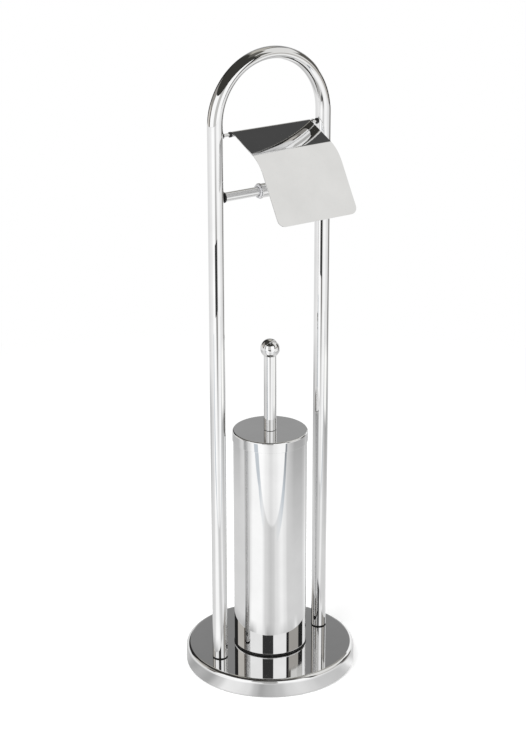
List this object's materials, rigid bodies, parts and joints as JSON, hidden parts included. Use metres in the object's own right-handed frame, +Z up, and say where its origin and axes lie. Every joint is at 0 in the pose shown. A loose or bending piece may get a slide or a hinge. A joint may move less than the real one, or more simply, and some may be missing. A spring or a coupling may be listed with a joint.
{
  "type": "toilet butler stand",
  "caption": "Free-standing toilet butler: weighted round base, arched tube frame, hinged roll cover over a sprung roll bar, and a lidded brush in a tall cylindrical holder.",
  "frame": {"origin": "on the floor below the middle of the round base", "axes": "+Z up; X from leg to leg, the roll bar's long sleeve at +X; the roll cover hangs towards -Y, the front"},
  "size_m": [0.2, 0.2, 0.7376],
  "materials": {
    "polished_steel": "polished stainless steel",
    "zinc_steel": "zinc plated",
    "cast_iron": "raw casting",
    "black_rubber": "matt",
    "black_plastic": "satin",
    "grey_plastic": "satin",
    "white_plastic": "satin",
    "white_bristle": "nylon bristle"
  },
  "bodies": {
    "stand": {"base_cover": "polished_steel", "base_weight": "cast_iron", "base_plate": "black_plastic", "foot_pad_1": "black_rubber", "foot_pad_2": "black_rubber", "foot_pad_3": "black_rubber", "foot_pad_4": "black_rubber", "frame_tube": "polished_steel", "leg_gasket_left": "black_rubber", "leg_gasket_right": "black_rubber", "leg_plug_left": "zinc_steel", "leg_plug_right": "zinc_steel", "leg_screw_left": "zinc_steel", "leg_screw_right": "zinc_steel", "leg_washer_left": "zinc_steel", "leg_washer_right": "zinc_steel", "hinge_rod": "polished_steel", "hinge_bush_left": "black_plastic", "hinge_bush_right": "black_plastic", "stop_collar_left": "black_plastic", "stop_collar_right": "polished_steel", "holder_gasket": "black_rubber", "holder_shell": "polished_steel", "holder_liner": "white_plastic", "holder_screw": "zinc_steel", "holder_washer": "zinc_steel", "holder_inner_washer": "zinc_steel", "holder_nut": "zinc_steel"},
    "cover": {"roll_cover": "polished_steel"},
    "roll_bar": {"bar_sleeve": "polished_steel", "bar_guide_bush": "grey_plastic", "bar_buffer_right": "black_rubber", "bar_spring": "zinc_steel"},
    "bar_plunger": {"bar_inner_tube": "polished_steel", "bar_buffer_left": "black_rubber", "bar_piston": "white_plastic"},
    "brush": {"knob": "polished_steel", "handle_tube": "polished_steel", "lid": "polished_steel", "lid_insert": "white_plastic", "brush_nut": "zinc_steel", "brush_rod": "zinc_steel", "brush_core": "white_plastic", "brush_bristles": "white_bristle"}
  },
  "joints": [
    {"name": "cover_hinge", "type": "hinge", "parent": "stand", "child": "cover", "pos_m": [0, 0, 0.6478], "axis": [-1, 0, 0], "range_deg": [0, 90]},
    {"name": "roll_bar_spin", "type": "hinge", "parent": "stand", "child": "roll_bar", "pos_m": [0, 0, 0.5796], "axis": [1, 0, 0], "continuous": true},
    {"name": "roll_bar_compress", "type": "slide", "parent": "roll_bar", "child": "bar_plunger", "axis": [1, 0, 0], "range_m": [0, 0.01], "stiffness_N_per_m": 400, "springref_m": -0.01, "deforming": ["bar_spring"]},
    {"name": "brush_lift", "type": "slide", "parent": "stand", "child": "brush", "axis": [0, 0, 1], "range_m": [0, 0.16]}
  ]
}
